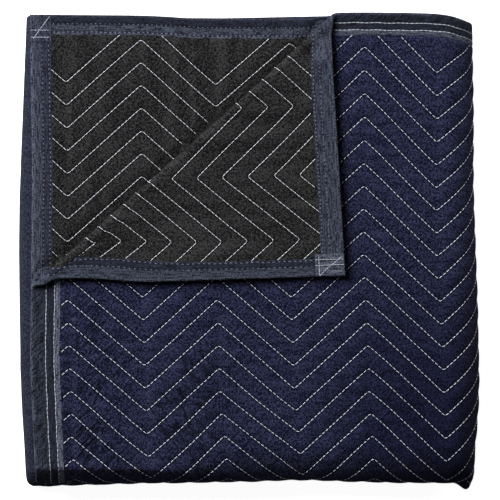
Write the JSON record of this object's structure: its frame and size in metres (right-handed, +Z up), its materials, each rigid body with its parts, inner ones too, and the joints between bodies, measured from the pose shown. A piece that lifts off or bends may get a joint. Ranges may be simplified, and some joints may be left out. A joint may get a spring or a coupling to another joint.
{
  "type": "moving blanket, folded",
  "caption": "Quilted moving blanket folded into a thick square stack, with taped edges and the top layer's corner turned back to show the dark back.",
  "frame": {"origin": "middle of the folded blanket's footprint, on the surface that it rests on", "axes": "+Z up through the layers; the turned-back corner is at -X +Y, the single thick fold at +X, the open ends at +Y"},
  "size_m": [0.4676, 0.4832, 0.0748],
  "materials": {
    "face_cloth": "navy woven cloth with a dull, slightly fuzzy surface, quilted in zigzag rows",
    "back_cloth": "charcoal-black woven cloth, matt, quilted by the same rows",
    "binding_tape": "slate-blue woven tape, matt"
  },
  "bodies": {
    "root": {"face_panel": "face_cloth", "back_panel": "back_cloth", "side_binding_left": "binding_tape", "side_binding_right": "binding_tape", "end_binding_near": "binding_tape", "end_binding_far": "binding_tape"}
  },
  "joints": []
}
